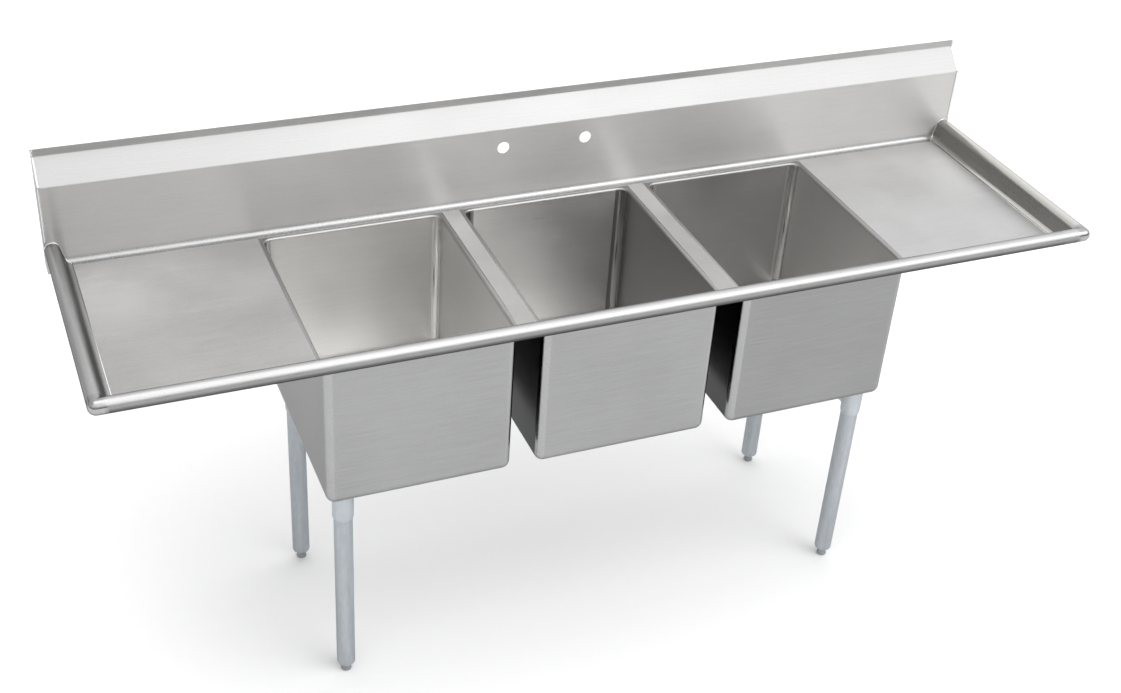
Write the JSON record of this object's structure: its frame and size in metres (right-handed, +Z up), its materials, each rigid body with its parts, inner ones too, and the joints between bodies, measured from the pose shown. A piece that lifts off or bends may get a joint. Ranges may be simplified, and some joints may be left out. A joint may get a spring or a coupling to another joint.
{
  "type": "three compartment sink",
  "caption": "Free-standing stainless sink with deep coved bowls, a drainboard at each end, rolled rims, a high splash with faucet holes and tube legs.",
  "frame": {"origin": "middle of the footprint, on the floor under the feet", "axes": "+X to the right along the wall, +Y from the front rim to the wall, +Z up"},
  "size_m": [2.2548, 0.6444, 1.129],
  "materials": {
    "brushed_steel": "brushed, grain along the length",
    "bowl_steel": "fine satin",
    "polished_steel": "polished",
    "galvanised_steel": "dull zinc coating, bluish grey",
    "foot_metal": "dull zinc coating",
    "screw_steel": "dark oxide",
    "brass": "rough cast",
    "rubber": "matte black"
  },
  "bodies": {
    "sink": {"backsplash": "brushed_steel", "front_rim": "brushed_steel", "splash_end_left": "brushed_steel", "splash_end_right": "brushed_steel", "drainboard_left": "brushed_steel", "drainboard_right": "brushed_steel", "side_rim_left": "brushed_steel", "side_rim_right": "brushed_steel", "rim_corner_left": "brushed_steel", "rim_corner_right": "brushed_steel", "divider_left": "brushed_steel", "divider_right": "brushed_steel", "board_channel_left": "galvanised_steel", "board_channel_right": "galvanised_steel", "left_bowl_wrap": "bowl_steel", "left_bowl_left_wall": "bowl_steel", "left_bowl_right_wall": "bowl_steel", "left_strainer_body": "polished_steel", "left_strainer_gasket": "rubber", "left_strainer_locknut": "brass", "left_tailpiece": "polished_steel", "middle_bowl_wrap": "bowl_steel", "middle_bowl_left_wall": "bowl_steel", "middle_bowl_right_wall": "bowl_steel", "middle_strainer_body": "polished_steel", "middle_strainer_gasket": "rubber", "middle_strainer_locknut": "brass", "middle_tailpiece": "polished_steel", "right_bowl_wrap": "bowl_steel", "right_bowl_left_wall": "bowl_steel", "right_bowl_right_wall": "bowl_steel", "right_strainer_body": "polished_steel", "right_strainer_gasket": "rubber", "right_strainer_locknut": "brass", "right_tailpiece": "polished_steel", "coupling_nuts": "brass", "front_left_gusset": "galvanised_steel", "front_left_leg": "galvanised_steel", "front_left_foot_insert": "foot_metal", "front_right_gusset": "galvanised_steel", "front_right_leg": "galvanised_steel", "front_right_foot_insert": "foot_metal", "rear_left_gusset": "galvanised_steel", "rear_left_leg": "galvanised_steel", "rear_left_foot_insert": "foot_metal", "rear_right_gusset": "galvanised_steel", "rear_right_leg": "galvanised_steel", "rear_right_foot_insert": "foot_metal", "set_screws": "screw_steel"},
    "left_basket": {"left_strainer_basket": "polished_steel", "left_basket_stopper": "rubber"},
    "middle_basket": {"middle_strainer_basket": "polished_steel", "middle_basket_stopper": "rubber"},
    "right_basket": {"right_strainer_basket": "polished_steel", "right_basket_stopper": "rubber"},
    "front_left_foot": {"front_left_foot": "foot_metal"},
    "front_right_foot": {"front_right_foot": "foot_metal"},
    "rear_left_foot": {"rear_left_foot": "foot_metal"},
    "rear_right_foot": {"rear_right_foot": "foot_metal"}
  },
  "joints": [
    {"name": "left_basket_lift", "type": "slide", "parent": "sink", "child": "left_basket", "axis": [0, 0, 1], "range_m": [0, 0.4]},
    {"name": "middle_basket_lift", "type": "slide", "parent": "sink", "child": "middle_basket", "axis": [0, 0, 1], "range_m": [0, 0.4]},
    {"name": "right_basket_lift", "type": "slide", "parent": "sink", "child": "right_basket", "axis": [0, 0, 1], "range_m": [0, 0.4]},
    {"name": "front_left_foot_screw", "type": "slide", "parent": "sink", "child": "front_left_foot", "axis": [0, 0, -1], "range_m": [0, 0.025]},
    {"name": "front_right_foot_screw", "type": "slide", "parent": "sink", "child": "front_right_foot", "axis": [0, 0, -1], "range_m": [0, 0.025]},
    {"name": "rear_left_foot_screw", "type": "slide", "parent": "sink", "child": "rear_left_foot", "axis": [0, 0, -1], "range_m": [0, 0.025]},
    {"name": "rear_right_foot_screw", "type": "slide", "parent": "sink", "child": "rear_right_foot", "axis": [0, 0, -1], "range_m": [0, 0.025]}
  ]
}
